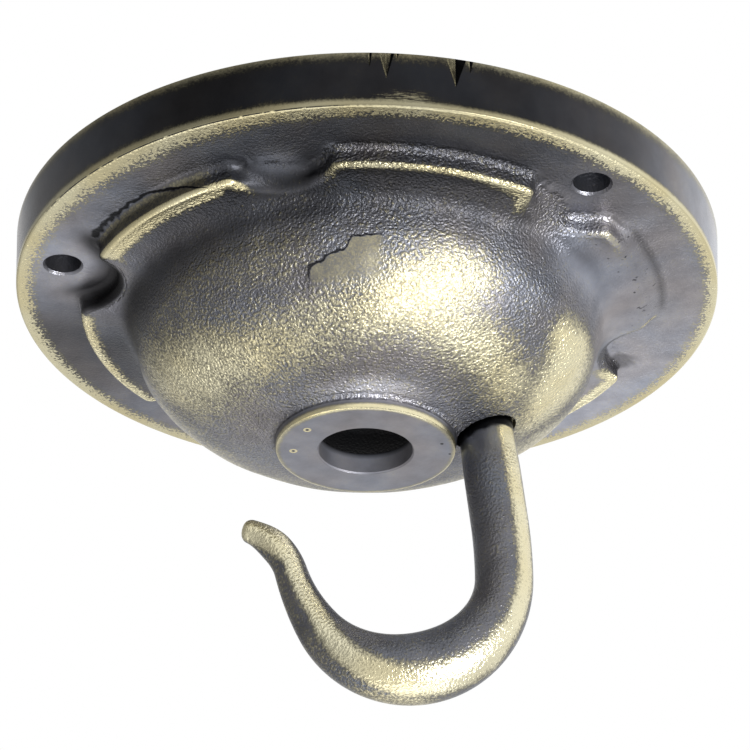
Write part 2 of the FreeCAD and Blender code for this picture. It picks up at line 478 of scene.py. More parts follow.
def sector_pattern(plate, material):
    # The sector copied round the axis and joined to one casting
    nodes, given, settings = geometry_tree("sectors round the axis", "Sector", {
        "Count": ("NodeSocketInt", scallop_count),
        "First angle": ("NodeSocketFloat", math.radians(first_hole_angle)),
        "Join distance": ("NodeSocketFloat", join_distance * MM)})
    centres = nodes.add("GeometryNodePoints", inputs={"Count": given["Count"]})
    turn = nodes.add("GeometryNodeInputIndex") * (2 * math.pi) / given["Count"] + given["First angle"]
    copies = nodes.add("GeometryNodeInstanceOnPoints",
                       inputs={"Points": centres, "Instance": given["Sector"],
                               "Rotation": nodes.vector(0.0, 0.0, turn)})
    whole = nodes.add("GeometryNodeRealizeInstances", inputs={"Geometry": copies})
    whole = nodes.add("GeometryNodeMergeByDistance",
                      inputs={"Geometry": whole, "Distance": given["Join distance"]})
    end_tree(nodes, whole, material)
    return apply_tree(plate, nodes.tree, settings)


def turned_solid(profile, place, steps=turned_steps):
    # A closed solid turned from (radius, z) points that start and end on the axis
    vertices, faces = [place @ Vector((0, 0, profile[0][1]))], []
    for radius, z in profile[1:-1]:
        for i in range(steps):
            angle = 2 * math.pi * i / steps
            vertices.append(place @ Vector((radius * math.cos(angle), radius * math.sin(angle), z)))
    vertices.append(place @ Vector((0, 0, profile[-1][1])))
    rings = len(profile) - 2
    for i in range(steps):
        k = (i + 1) % steps
        faces.append((0, 1 + k, 1 + i))
        for j in range(rings - 1):
            a, b = 1 + j * steps, 1 + (j + 1) * steps
            faces.append((a + i, a + k, b + k, b + i))
        a = 1 + (rings - 1) * steps
        faces.append((a + i, a + k, len(vertices) - 1))
    return vertices, faces


def joined(name, solids):
    vertices, faces = [], []
    for more, sides in solids:
        faces += [tuple(len(vertices) + i for i in side) for side in sides]
        vertices += more
    return new_object(name, vertices, faces)


def at_hole(angle):
    turn = math.radians(angle)
    return Matrix.Translation((hole_circle_radius * math.cos(turn), hole_circle_radius * math.sin(turn), 0))


def seat_boss():
    # Pad inside the dome round the spigot; its buried end follows the middle of the dome's wall
    buried = [(seat_boss_radius * k / 6, 0) for k in range(7)]
    top = [(seat_boss_radius * k / 2, seat_boss_top) for k in (2, 1, 0)]
    vertices, faces = turned_solid(buried + top, Matrix())
    wide, deep = mid_wall_radius, mid_wall_drop
    axis = seat_place.to_3x3() @ Vector((0, 0, 1))
    placed = []
    for v in vertices:
        p = seat_place @ v
        if v.z < 0.5 * seat_boss_top:
            scaled = Vector((p.x / wide, p.y / wide, (p.z - dome_z) / deep))
            step = Vector((axis.x / wide, axis.y / wide, axis.z / deep))
            half, rest = scaled.dot(step) / step.dot(step), (scaled.dot(scaled) - 1) / step.dot(step)
            p = p + axis * (-half - math.sqrt(max(half * half - rest, 0)))
        placed.append(p)
    return placed, faces


# File marks on the rim at the ceiling edge: angle, width, depth, length, and where the bottom lies across;
# the wedges that cut them stand proud of the wall
file_mark_proud = 0.4
file_marks = [(-89.9, 0.8, 0.30, 3.3, 0.0), (-87.4, 2.6, 0.40, 5.0, 0.3), (-85.8, 0.7, 0.25, 1.3, 0.0),
              (-76.9, 3.4, 0.75, 5.6, -0.04), (-74.7, 1.1, 0.40, 2.4, -0.1)]


def file_mark(angle, width, depth, length, lean):
    # A three-sided wedge that is widest at the ceiling edge and runs out below
    turn = math.radians(angle)
    out = Vector((math.cos(turn), math.sin(turn), 0))
    along = Vector((-math.sin(turn), math.cos(turn), 0))
    proud = file_mark_proud
    corners = []
    for z, share in ((cutter_run, 1 + cutter_run / length), (-length, 0.0)):
        wall = plate_radius + rim_draft / rim_height * z
        bottom = lean * width * share
        spread = width * (share * depth + proud) / depth
        for across, reach in ((bottom - (0.5 + lean) * spread, proud),
                              (bottom + (0.5 - lean) * spread, proud), (bottom, -depth * share)):
            corners.append(out * (wall + reach) + along * across + Vector((0, 0, z)))
    return corners, [(0, 2, 1), (3, 4, 5), (0, 1, 4, 3), (1, 2, 5, 4), (2, 0, 3, 5)]


def cut_plate(plate, material):
    low, high = inside_z - pillar_bury, -ceiling_shy
    pillar = [(0, low), (pillar_radius, low), (pillar_radius, high), (0, high)]
    pillars = [turned_solid(pillar, at_hole(a)) for a in hole_angles]
    added = joined("pillars and seat", pillars + [seat_boss()])
    low, mouth_radius = flange_z - cutter_run, hole_radius + hole_chamfer
    hole = [(0, low), (mouth_radius + cutter_run, low), (mouth_radius, flange_z),
            (hole_radius, flange_z + hole_chamfer), (hole_radius, cutter_run), (0, cutter_run)]
    bore_radius, bore_end = spigot_radius + spigot_clearance, seat_boss_top + spigot_run
    pocket = [(0, -pocket_run), (pocket_radius, -pocket_run), (pocket_radius, seat_depth),
              (bore_radius, seat_depth), (bore_radius, bore_end), (0, bore_end)]
    cuts = [turned_solid(hole, at_hole(a)) for a in hole_angles]
    cuts.append(turned_solid(pocket, seat_place @ Matrix.Translation((0, -seat_shift, 0))))
    cuts += [file_mark(*mark) for mark in file_marks]
    removed = joined("holes, pocket and file marks", cuts)
    for operand, operation in ((added, "UNION"), (removed, "DIFFERENCE")):
        operand.data.materials.append(material)
        modifier = plate.modifiers.new(operation.lower(), "BOOLEAN")
        modifier.operation, modifier.object, modifier.solver = operation, operand, "MANIFOLD"
    mesh = made_plain(plate)
    for operand in (added, removed):
        bpy.data.objects.remove(operand)
    return mesh


def outline_distance(x, y):
    # Distance in plan from the scalloped edge, positive outside the raised ring
    radius = np.hypot(x, y)
    pitch = 2 * math.pi / scallop_count
    turn = np.arctan2(y, x) - math.radians(first_hole_angle)
    turn = turn - pitch * np.round(turn / pitch)
    beyond_ring = radius - ring_radius + scallop_corner_round
    in_scallop = scallop_radius - np.hypot(radius * np.cos(turn) - hole_circle_radius, radius * np.sin(turn))
    in_scallop = in_scallop + scallop_corner_round
    outside = np.hypot(np.maximum(beyond_ring, 0), np.maximum(in_scallop, 0))
    return outside + np.minimum(np.maximum(beyond_ring, in_scallop), 0) - scallop_corner_round


def turn_from(x, y, middle):
    # Angle in degrees from a direction, -180 to 180
    turn = np.degrees(np.arctan2(y, x)) - middle
    return (turn + 180) % 360 - 180


def facing(x, y, middle, full, gone):
    # 1 towards a direction, falling to 0 between two angles from it
    return fading(np.abs(turn_from(x, y, middle)), full, gone)


def around(x, y, stations):
    # A value that changes round the axis, from (angle, value) pairs
    angles, values = zip(*stations)
    return np.interp(np.degrees(np.arctan2(y, x)), angles, values, period=360)


def along_path(points, path):
    # Strongest of the soft spots strung along a path
    path = np.array(path)
    rub = np.zeros(len(points))
    for step in np.linspace(0, len(path) - 1, 4 * len(path) - 3):
        x, y, z, reach, strength = [np.interp(step, range(len(path)), column) for column in path.T]
        distance = np.linalg.norm(points - np.array((x, y, z)), axis=1)
        rub = np.maximum(rub, strength * np.exp(-(distance / reach) ** 2))
    return rub


def plate_outside(x, y, z):
    # 1 on the faces seen from below, 0 in the hollow back
    radius = np.hypot(x, y)
    in_dome = (radius / mid_wall_radius) ** 2 + ((z - dome_z) / mid_wall_drop) ** 2 <= 1
    hollow = (radius < mid_wall_radius) & ((z > dome_z) | in_dome)
    hollow = hollow | ((z > inside_z - 1) & (radius < plate_radius - 0.5 * rim_wall))
    hollow = hollow | ((z > -0.05) & (radius < plate_radius - 1.2 * ceiling_edge_round))
    return 1.0 - hollow.astype(float)


# Where the dome is painted as bare brass, partly rubbed wear and partly a painted highlight: paths of (x, y,
# z, reach, strength)
dome_rubs_and_highlights = [
    [(-32.0, -4.0, -28.0, 8.0, 0.58), (-29.9, -9.4, -29.3, 9.0, 0.62), (-25.0, -15.5, -30.4, 8.0, 0.54),
     (-17.0, -21.5, -31.5, 7.0, 0.46), (-9.0, -26.5, -31.2, 7.0, 0.37), (-1.0, -30.0, -29.8, 6.5, 0.38),
     (5.5, -32.0, -28.2, 7.0, 0.64), (12.0, -32.6, -26.4, 7.5, 0.60), (17.0, -31.5, -24.0, 5.5, 0.36)],
    [(9.0, -30.5, -29.0, 6.0, 0.54), (15.0, -26.0, -30.6, 6.0, 0.52), (20.5, -18.5, -31.8, 6.0, 0.5),
     (24.0, -11.0, -32.0, 5.5, 0.5)],
    [(31.5, -16.5, -24.5, 3.0, 0.8), (34.0, -10.5, -25.5, 6.0, 1.1), (32.0, -4.0, -28.4, 7.0, 1.0),
     (28.5, 1.0, -30.8, 6.0, 0.6)],
    [(-14.0, -34.5, -22.5, 6.5, 0.17), (-20.0, -32.0, -22.0, 8.0, 0.16), (-28.0, -25.0, -22.0, 8.0, 0.15),
     (-33.0, -17.0, -22.5, 7.0, 0.15)],
    [(-33.0, 8.0, -26.0, 9.0, 0.25), (-20.0, 25.0, -27.5, 10.0, 0.4), (-2.0, 33.0, -27.0, 12.0, 0.5),
     (20.0, 26.0, -27.0, 10.0, 0.5), (30.0, 14.0, -27.0, 9.0, 0.55)]]

# Painted sheen on the dome: a pale silver tone round the key lamp's highlight, and a pale sweep down its left
# side
painted_silver_sheen = [(8.0, -32.5, -27.0, 6.0, 0.9), (13.0, -32.3, -26.2, 7.5, 1.0), (18.0, -31.0, -24.0, 6.0, 0.5)]
painted_pale_sweep = [(-36.5, 5.0, -23.5, 4.0, 1.0), (-33.0, 12.0, -26.0, 4.0, 1.0), (-26.0, 20.0, -28.5, 4.5, 1.0)]

# How pale the dark finish is, by angle, with painted reflection and shade in it, darker on the near side and
# paler to the right: the flange and the rim's wall, and the pads' tops beside the flange
flange_tones_with_painted_light = [(-175, 0.24), (-165, 0.34), (-150, 0.18), (-120, 0.085), (-90, 0.055), (-60, 0.075),
                (-35, 0.18), (0, 0.30), (40, 0.44), (90, 0.38), (130, 0.24), (155, 0.10), (170, 0.075)]
rim_tones_with_painted_light = [(-175, 0.18), (-155, 0.105), (-120, 0.024), (-90, 0.018), (-65, 0.026), (-45, 0.07), (-25, 0.26),
             (-5, 0.46), (40, 0.2), (90, 0.08), (150, 0.12)]
plateau_shares = [(-163, 0.8), (-137, 0.45), (-107, 0.5), (-77, 0.8), (-47, 0.9), (-17, 1.25), (13, 1.0),
                  (43, 0.8), (103, 0.8)]

# How far the rim's wall is rubbed at its lower edge and at the ceiling, by angle
wall_rubs = [(-170, 0.8), (-130, 0.85), (-95, 0.7), (-75, 0.6), (-55, 0.45), (-30, 0.25), (0, 0.2), (40, 0.4),
             (90, 0.5)]
ceiling_rubs = [(-175, 0.3), (-150, 0.5), (-115, 0.62), (-95, 0.5), (-80, 0.4), (-60, 0.65), (-20, 0.4),
                (90, 0.4)]

# Bright band on the flange: where it ends, and by angle its width, how soft its border is and how bright its
# brass is painted, as painted light
band_outer_radius = plate_radius - 0.6
band_widths = [(-170, 1.9), (-135, 2.8), (-110, 2.6), (-80, 1.9), (-50, 1.8), (-20, 1.4), (30, 1.5),
               (90, 2.4), (150, 2.0)]
band_borders = [(-170, 2.6), (-130, 4.0), (-95, 3.2), (-60, 2.6)]
band_painted_light = [(-170, 0.86), (-135, 0.66), (-110, 0.55), (-90, 0.46), (-75, 0.5), (-50, 0.85), (0, 0.96),
               (90, 0.8)]

# Ring pads: middle angle, how bright their outer edge is rubbed, how wide the bright line is at either end,
# and how far past the middle its width starts to change
pad_edges = [(-136.7, 1.2, 2.9, 1.3, 15), (-76.7, 1.1, 0.9, 2.6, 6), (-16.7, 0.25, 1.4, 1.4, 6),
             (43.3, 1.2, 2.0, 2.0, 6), (103.3, 0.9, 1.6, 1.6, 6), (163.3, 1.1, 1.5, 1.5, 6)]
# How bright the pads' brass is painted by angle, as painted light, up to a painted highlight at the near left
# pad's end
pad_painted_light = [(-137, 0.85), (-122, 0.95), (-112, 1.14), (-107, 1.0), (-95, 0.42), (-77, 0.42), (-62, 0.66),
              (-45, 0.8), (43, 1.05), (163, 0.9)]
pad_half_angle = 19.0

# How grainy the dome's foot is, and how far up the dome it reaches
foot_grains = [(-170, 0.2), (-130, 0.45), (-100, 0.9), (-60, 0.8), (-35, 0.3), (0, 0.2), (90, 0.5)]
foot_reaches = [(-170, 8), (-140, 5), (-115, 3), (-90, 2.5), (-60, 3), (-25, 9), (0, 8), (40, 6), (90, 4),
                (150, 8)]

# Black line along the foot of the near left pad, a crack that widens at its left end into painted shade:
# distance from the ring's edge, and width
crack_and_shade_lines = [(-156, 1.4), (-148, 1.08), (-137, 1.08), (-132, 0.05), (-126, -0.7), (-120, -1.5)]
crack_and_shade_widths = [(-156, 1.8), (-149, 1.8), (-143, 1.1), (-137, 0.8), (-131, 0.5), (-127, 0.15), (-120, 0.1)]
far_from_crack_and_shade = 20.0

# Angles of single places: pads, a painted highlight on a pad's wall, painted shade along a pad's foot and in
# two scallops, and sides of the dome's foot
worn_pad_angle = -16.7
left_pad_angle = -138.0
painted_highlight_wall_angle = -36.0
foot_shade_angle = -16.0
near_scallop_angle = -109.0
left_scallop_angle = -165.5
unrubbed_angle = -166.7
near_side_angle = -80.0
painted_pale_foot_angle = -14.0
dark_foot_angle = -120.0

# Grain of the casting, 0 smooth to 1 rough; the finish in the hollow back is never rubbed
flange_grain = 0.22
wall_grain = 0.95
boss_grain = 0.06
back_grain = 0.5
back_rub = -0.4

# How pale the dome, the boss, the cable hole, the fixing holes and the hollow back are; the hollow back is
# painted near black deep in the dome, as shade
plain_dome_tone = 0.16
boss_tone = 0.26
bore_tone = 0.3
hole_tone = 0.19
dome_back_shade_tone = 0.004
flange_back_tone = 0.07

# Single small spots: a painted highlight on the worn pad, shown as bare brass, and painted shade in the
# hollow at the end of the scallop beyond it
painted_highlight_place = (48.6, 2.6)
shaded_hollow_place = (44.5, 18.3, -10.1)

# Painted sheen on the dome beside the boss, at the near side: middle and reach along x, distance and reach
# outwards
painted_boss_sheen = (1.5, 9.0, 1.8, 2.2)

# Painted shade along the worn pad's foot: distance from the ring's edge, and reach
foot_shade_distance = 1.7
foot_shade_reach = 0.7


def plate_zones(points):
    # Which part of the casting each point is on, as shares from 0 to 1
    x, y, z = points.T
    radius, edge = np.hypot(x, y), outline_distance(x, y)
    spot = SimpleNamespace(points=points, x=x, y=y, z=z, radius=radius, edge=edge)
    spot.outside = plate_outside(x, y, z)
    spot.on_wall = smooth(radius, plate_radius - 1.4, plate_radius - 0.9) * (z > flange_z + 0.1)
    spot.on_wall = spot.on_wall * spot.outside
    spot.on_flange = fading(np.abs(z - flange_z), 0.1, 0.5) * (edge > 0.2)
    spot.on_ring = smooth(-z, rim_height + 0.3, rim_height + 1.0) * (radius > dome_radius + 0.6)
    spot.on_dome = smooth(dome_radius + 2.6 - radius, 0, 2.0) * (z < flange_z)
    spot.up_dome = smooth(dome_z - z, 0, around(x, y, foot_reaches))
    spot.on_boss = (radius < boss_radius + 0.1) * (z < boss_seat_z - 0.6)
    spot.on_face = smooth(boss_z + 0.35 - z, 0, 0.3) * (radius < boss_radius - 0.2)
    spot.on_face = spot.on_face * (radius > cable_hole_radius + 0.1)
    spot.in_bore = (radius < cable_hole_radius + 0.15) * (z < cable_face_z + 0.2)
    spot.worn_pad = facing(x, y, worn_pad_angle, 16, 26)
    spot.left_pad = facing(x, y, left_pad_angle, 14, 19) * (z < flange_z + 0.2) * (radius > dome_radius + 2)
    spot.left_pad_wall = spot.left_pad * smooth(edge, -1.3, -0.9) * fading(edge, 0.3, 0.9)
    # Painted shade in two scallops' hollows
    near = facing(x, y, near_scallop_angle, 5, 12) * fading(edge, 0.0, 5.0) * smooth(edge, -4.0, 0.5)
    left = facing(x, y, left_scallop_angle, 9, 14) * fading(edge, 1.8, 5.5) * smooth(edge, -1.1, -0.6)
    spot.dark_scallop = np.maximum(1.5 * near, 1.75 * left) * (1 - spot.on_dome)
    return spot


def pad_lines(spot):
    # Bright lines along the pads' outer edges, and how ragged the lines' inner borders are
    x, y, edge = spot.x, spot.y, spot.edge
    high = smooth(-spot.z, -ring_z - 0.95, -ring_z - 0.3) * spot.on_ring
    high = high * (1 - facing(x, y, unrubbed_angle, 10.5, 13))
    rub, ragged = np.zeros(len(x)), np.zeros(len(x))
    for middle, strength, first_width, last_width, start in pad_edges:
        along_pad = high * facing(x, y, middle, pad_half_angle, pad_half_angle + 4.5)
        share = smooth(turn_from(x, y, middle), start, pad_half_angle)
        width = first_width + (last_width - first_width) * share
        rub = np.maximum(rub, along_pad * strength * np.clip(0.5 + (edge + width) / 2.0, 0, 1))
        border = smooth(edge, -width - 1.2, -width) * fading(edge, -0.9, -0.4)
        ragged = np.maximum(ragged, 0.7 * along_pad * border)
    return rub, ragged


def rim_band(spot):
    # Bright band along the flange's outer edge, and how ragged its inner border is
    x, y = spot.x, spot.y
    inner_radius = band_outer_radius - around(x, y, band_widths)
    band = np.clip(0.5 + (spot.radius - inner_radius) / around(x, y, band_borders), 0, 1.1) * spot.on_flange
    return band, smooth(band, 0.02, 0.2) * fading(spot.radius, plate_radius - 1.4, plate_radius - 0.8)


def edge_rubs(spot):
    # Rubbed edges of the rim and the boss, and the near left pad's wall, which is worn smooth and brown
    x, y, z, radius = spot.x, spot.y, spot.z, spot.radius
    low_wall = spot.on_wall * around(x, y, wall_rubs) * smooth(-z, rim_height - 1.9, rim_height - 0.4)
    high_wall = spot.on_wall * around(x, y, ceiling_rubs) * smooth(z, -2.2, -0.1)
    rim_corner = 0.9 * smooth(radius, plate_radius - 1.1, plate_radius - 0.8) * (z < flange_z + 0.6)
    boss_corner = smooth(radius, boss_radius - 0.7, boss_radius - 0.3) * (z < boss_z + 0.7) * spot.on_boss
    boss_corner = boss_corner * (0.55 + 0.35 * smooth(np.abs(y), 6, 13))
    boss_side = spot.on_boss * (1 - spot.on_face) * (1 - spot.in_bore) * fading(z, boss_z + 0.7, boss_z + 1.2)
    boss_side = 0.6 * boss_side * smooth(-y, 4, 12)
    return strongest([low_wall, high_wall, rim_corner, boss_corner, boss_side, 0.3 * spot.left_pad_wall])


def plate_rub(spot):
    # How far the finish is rubbed down to the brass, with painted highlights shown as bare brass too, and how
    # ragged the border is
    x, y, z, edge = spot.x, spot.y, spot.z, spot.edge
    dome = strongest([along_path(spot.points, path) for path in dome_rubs_and_highlights])
    dome = dome * spot.on_dome * (1 - spot.on_boss)
    lines, line_border = pad_lines(spot)
    band, band_border = rim_band(spot)
    rub = strongest([dome, lines, band, edge_rubs(spot)])
    reach = around(x, y, foot_reaches)
    at_foot = (spot.on_dome > 0) & (spot.on_boss == 0)
    rub = np.where(at_foot, rub * smooth(dome_z - z, 0.3 * reach, reach), rub)
    # Painted highlight on the worn pad's corner, shown as bare brass
    from_painted_highlight = np.hypot(x - painted_highlight_place[0], y - painted_highlight_place[1]) + 2 * (z > flange_z - 0.1)
    painted_highlight = fading(from_painted_highlight, 1.2, 2.4) * smooth(edge, -1.8, -1.0) * fading(edge, 0.6, 1.2)
    rub = np.maximum(rub, 0.95 * painted_highlight)
    return np.where(spot.outside > 0.5, rub, back_rub), np.maximum(line_border, band_border)


def plate_grain(spot):
    x, y, edge = spot.x, spot.y, spot.edge
    on_ring = spot.on_ring > 0.1
    foot_grain = around(x, y, foot_grains)
    grain = np.where(on_ring, np.where(edge > -1.2, wall_grain, 0.15 + 0.7 * foot_grain), flange_grain)
    grain = grain * (1 - 0.93 * spot.on_wall)
    grain = np.where(spot.on_boss, boss_grain, grain) * (1 - 0.8 * spot.left_pad_wall)
    at_foot = smooth(edge, -1.2, -0.9) * fading(edge, 1.0, 1.5) * (spot.z < flange_z + 0.05)
    at_foot = at_foot * (1 - spot.left_pad_wall) * facing(x, y, near_side_angle, 35, 50)
    grain = np.maximum(grain, wall_grain * at_foot)
    grain = grain * (1 - 0.85 * np.minimum(spot.dark_scallop, 1))
    dome_grain = foot_grain + (1 - foot_grain) * spot.up_dome
    grain = np.where(spot.on_boss, grain, grain + (dome_grain - grain) * spot.on_dome)
    grain = np.where(on_ring, grain * (1 - 0.6 * spot.worn_pad), grain)
    grain = np.where(spot.outside > 0.5, grain, back_grain)
    return np.where(spot.in_bore, 0.0, grain)


def dome_tone(spot):
    # Painted light: paler at the foot on the right, with a painted sheen down the left side and round the key
    # lamp's highlight; also paler low on the left, and darker at the near foot
    x, y = spot.x, spot.y
    painted_pale_foot = (1 - spot.up_dome) * facing(x, y, painted_pale_foot_angle, 16, 30)
    dark_foot = (1 - spot.up_dome) * facing(x, y, dark_foot_angle, 55, 75)
    tone = plain_dome_tone + 0.05 * smooth(-spot.z, 24, 33) * smooth(-x, 5, 20) + 0.14 * painted_pale_foot
    tone = tone * (1 - 0.6 * dark_foot) + 0.22 * along_path(spot.points, painted_pale_sweep)
    return tone + 0.36 * along_path(spot.points, painted_silver_sheen)


def plate_tone(spot):
    # How pale the dark finish is, with painted light and shade in it
    x, y, z, edge = spot.x, spot.y, spot.z, spot.edge
    tone = np.where(spot.on_wall > 0.5, around(x, y, rim_tones_with_painted_light), around(x, y, flange_tones_with_painted_light))
    plateau = around(x, y, plateau_shares) * tone
    pad_wall = np.clip(1.5 * tone, 0.10, 0.14) * (1 - spot.worn_pad) + 1.1 * tone * spot.worn_pad
    # Painted highlight on the worn pad's wall near its end
    pad_wall = pad_wall + 0.16 * facing(x, y, painted_highlight_wall_angle, 4, 8)
    ring_tone = plateau + (pad_wall - plateau) * smooth(edge, -1.5, -0.9)
    tone = tone + (ring_tone - tone) * smooth(spot.on_ring, 0.05, 0.5)
    # Painted shade along the worn pad's foot
    foot_shade = np.exp(-((edge - foot_shade_distance) / foot_shade_reach) ** 2) * (z < flange_z + 0.1)
    tone = tone * (1 - 0.5 * foot_shade * facing(x, y, foot_shade_angle, 12, 18))
    tone = tone + (dome_tone(spot) - tone) * spot.on_dome
    # Painted shade in the hollow at the end of the scallop beyond the worn pad
    from_shaded_hollow = np.linalg.norm(spot.points - np.array(shaded_hollow_place), axis=1)
    tone = tone * (0.5 + 0.5 * smooth(from_shaded_hollow, 2.0, 3.2))
    tone = np.where(spot.on_boss, boss_tone, tone)
    tone = np.where(spot.in_bore, bore_tone, tone)
    # Painted shade in the two scallops
    tone = tone * (1 - 0.5 * spot.dark_scallop)
    # Painted sheen on the dome beside the boss
    middle, reach, distance, width = painted_boss_sheen
    from_boss = spot.radius - boss_radius
    painted_sheen = np.exp(-((x - middle) / reach) ** 2 - ((from_boss - distance) / width) ** 2) * (y < 0)
    tone = tone + 0.3 * painted_sheen * spot.on_dome * (1 - spot.on_boss)
    # Painted shade in the hollow back, darkest deep in the dome
    back_tone_and_shade = dome_back_shade_tone + (flange_back_tone - dome_back_shade_tone) * smooth(z, dome_z + 0.5, inside_z)
    tone = np.where(spot.outside > 0.5, tone, back_tone_and_shade)
    for angle in hole_angles:
        centre = at_hole(angle).translation
        in_hole = (np.hypot(x - centre.x, y - centre.y) < hole_radius + 0.1) & (z < -1)
        tone = np.where(in_hole, hole_tone, tone)
    return tone


def paint_plate(mesh):
    spot = plate_zones(points_of(mesh))
    x, y, z, radius, edge = spot.x, spot.y, spot.z, spot.radius, spot.edge
    rub, ragged = plate_rub(spot)
    smoothness = 0.45 + 0.35 * spot.on_wall + 0.15 * spot.on_face - 0.15 * spot.on_dome - 0.5 * spot.in_bore
    smoothness = smoothness - 0.25 * np.minimum(spot.dark_scallop, 1)
    # Painted light: the brass of the pads and the band shown brighter or duller by angle
    painted_light_gain = np.where(spot.on_ring * (edge > -5) > 0.1, around(x, y, pad_painted_light), 1.0)
    painted_light_gain = np.where(radius > ring_radius + 5, around(x, y, band_painted_light), painted_light_gain)
    from_crack_and_shade = (edge + 0.35 * (z - flange_z) - around(x, y, crack_and_shade_lines)) / around(x, y, crack_and_shade_widths)
    pitted = spot.worn_pad * smooth(radius, dome_radius + 3.3, dome_radius + 5.3)
    layers = {"rub": rub, "tone": plate_tone(spot), "grain": plate_grain(spot),
              "smoothness": np.clip(smoothness, 0, 1), "ragged": ragged, "painted_light_gain": painted_light_gain - 0.05 * spot.on_wall,
              "pad_foot": np.where(spot.left_pad > 0.3, from_crack_and_shade, far_from_crack_and_shade),
              "pitted": pitted * fading(edge, 0, 2) * (z < flange_z)}
    for name, values in layers.items():
        paint(mesh, name, values)


def softened(mesh, points, weight, rounds):
    # Evens out the surface where the weight says so, as wear and a rough mould do
    ends = np.zeros(len(mesh.edges) * 2, np.int32)
    mesh.edges.foreach_get("vertices", ends)
    first, last = ends.reshape(-1, 2).T
    count = np.bincount(ends, minlength=len(points))[:, None]
    for step in range(rounds):
        total = np.zeros_like(points)
        for axis in range(3):
            total[:, axis] = (np.bincount(first, points[last, axis], len(points))
                              + np.bincount(last, points[first, axis], len(points)))
        points = points + (0.5 * weight)[:, None] * (total / count - points)
    return points


def soft_casting(mesh):
    # The dome's foot and two scallops' inner ends flow together, the right pad is worn, the rest is uneven
    points = points_of(mesh)
    x, y, z = points.T
    radius = np.hypot(x, y)
    outside = plate_outside(x, y, z)
    beyond_dome = radius > dome_radius - 1
    rise = around(x, y, foot_reaches)
    foot = smooth(radius, dome_radius - 1.5, dome_radius - 0.3)
    foot = foot * fading(radius, dome_radius + 2.8, dome_radius + 5.8)
    foot = foot * smooth(-z, -valley_z - 1.2, -valley_z - 0.3)
    foot = foot * fading(-z, -dome_z + 0.4 * rise, -dome_z + 1.2 * rise)
    pitch = 360 / scallop_count
    from_scallop = turn_from(x, y, first_hole_angle - wear_turn)
    from_scallop = np.abs(from_scallop - pitch * np.round(from_scallop / pitch))
    inner_end = fading(from_scallop, 4, 9) * facing(x, y, near_side_angle, 50, 65) * beyond_dome
    inner_end = inner_end * fading(radius, ring_radius - 3.5, ring_radius - 1.0)
    worn_pad = facing(x, y, worn_pad_angle + wear_turn, 13, 21) * beyond_dome
    worn_pad = worn_pad * fading(radius, ring_radius + 3.5, ring_radius + 6.0)
    weight = strongest([0.9 * foot, 0.9 * inner_end, 0.8 * worn_pad]) * outside
    points = softened(mesh, points, weight * (z < flange_z + 0.3), softening_rounds)
    put_points(mesh, points)
    cast = smooth(-z, rim_height + 0.3, rim_height + 1.5) * (radius > boss_radius + 2) * outside
    chosen = np.where(cast > 0.01)[0]
    lift = np.zeros(len(points))
    for seed, (height, size) in enumerate(casting_lumps, 1):
        lift[chosen] += height * bumps(points[chosen], size, seed)
    put_points(mesh, points + normals_of(mesh) * (lift * cast)[:, None])


def plate_piece(material):
    plate = new_object("cast_plate", *sector_mesh())
    soft_casting(sector_pattern(plate, material))
    mesh = cut_plate(plate, material)
    mesh.shade_smooth()
    mesh.set_sharp_from_angle(angle=math.radians(plate_sharp_angle))
    paint_plate(mesh)
    return plate


# Hook: swept along its path with a thickness law


path_lengths = [(seat_depth + shank_length, 0.0),
                (ease_radius * math.radians(hook_lean), hook_lean),
                (bowl_radius * math.radians(bowl_sweep), bowl_sweep),
                (arm_radius * math.radians(arm_sweep), arm_sweep),
                (lip_radius * math.radians(lip_sweep), -lip_sweep)]
path_length = sum(length for length, turn in path_lengths)
shank_end = path_lengths[0][0] + path_lengths[1][0]
thickest = shank_end + path_lengths[2][0] * thick_at_sweep / bowl_sweep
thin_start = path_length - path_lengths[4][0] + arm_run_on


# Bright stripe on the hook: distance along it, angle round the bar, half width in degrees, strength
hook_stripe = [(0, 47, 20, 0.95), (shank_end, 49, 20, 0.95), (shank_end + 10, 48, 20, 0.9),
               (thickest - 8, 54, 25, 0.95), (thickest + 4, 46, 25, 0.9), (thickest + 14, 20, 20, 0.9),
               (thin_start - 12, -8, 21, 0.95), (thin_start - 2, -8, 26, 1.0), (path_length - 8, 0, 38, 1.1),
               (path_length - 3, 0, 65, 1.2), (path_length, 0, 75, 1.2)]

# How pale the bar is, and how grainy its smooth turned end is
bar_tone = 0.17
spigot_grain = 0.06


def path_station(distance):
    # Position and heading, in degrees from straight down, at a distance from the shoulder
    shoulder = seat_place @ Vector((0, 0, seat_depth))
    x, z, heading = shoulder.x, shoulder.z, hook_lean
    if distance < 0:
        up = seat_place.to_3x3() @ Vector((0, 0, 1))
        return shoulder - up * distance, heading
    for length, turn in path_lengths:
        part = min(distance, length)
        bend = turn * part / length
        half = math.radians(bend) / 2
        chord = part * math.sin(half) / half if abs(half) > 1e-9 else part
        middle = math.radians(heading) - half
        x += chord * math.sin(middle)
        z -= chord * math.cos(middle)
        heading -= bend
        distance -= part
    return Vector((x, 0, z)), heading


def eased(start, end, share):
    share = min(max(share, 0.0), 1.0)
    return start + (end - start) * (0.5 - 0.5 * math.cos(math.pi * share))


def section_radius(distance):
    if distance <= shank_end:
        return eased(root_radius, shank_radius, (distance - seat_depth) / root_taper)
    if distance <= thickest:
        return eased(shank_radius, bowl_thick_radius, (distance - shank_end) / (thickest - shank_end))
    if distance <= thin_start:
        return eased(bowl_thick_radius, arm_thin_radius, (distance - thickest) / (thin_start - thickest))
    return eased(arm_thin_radius, tip_radius, (distance - path_length + tip_taper) / tip_taper)


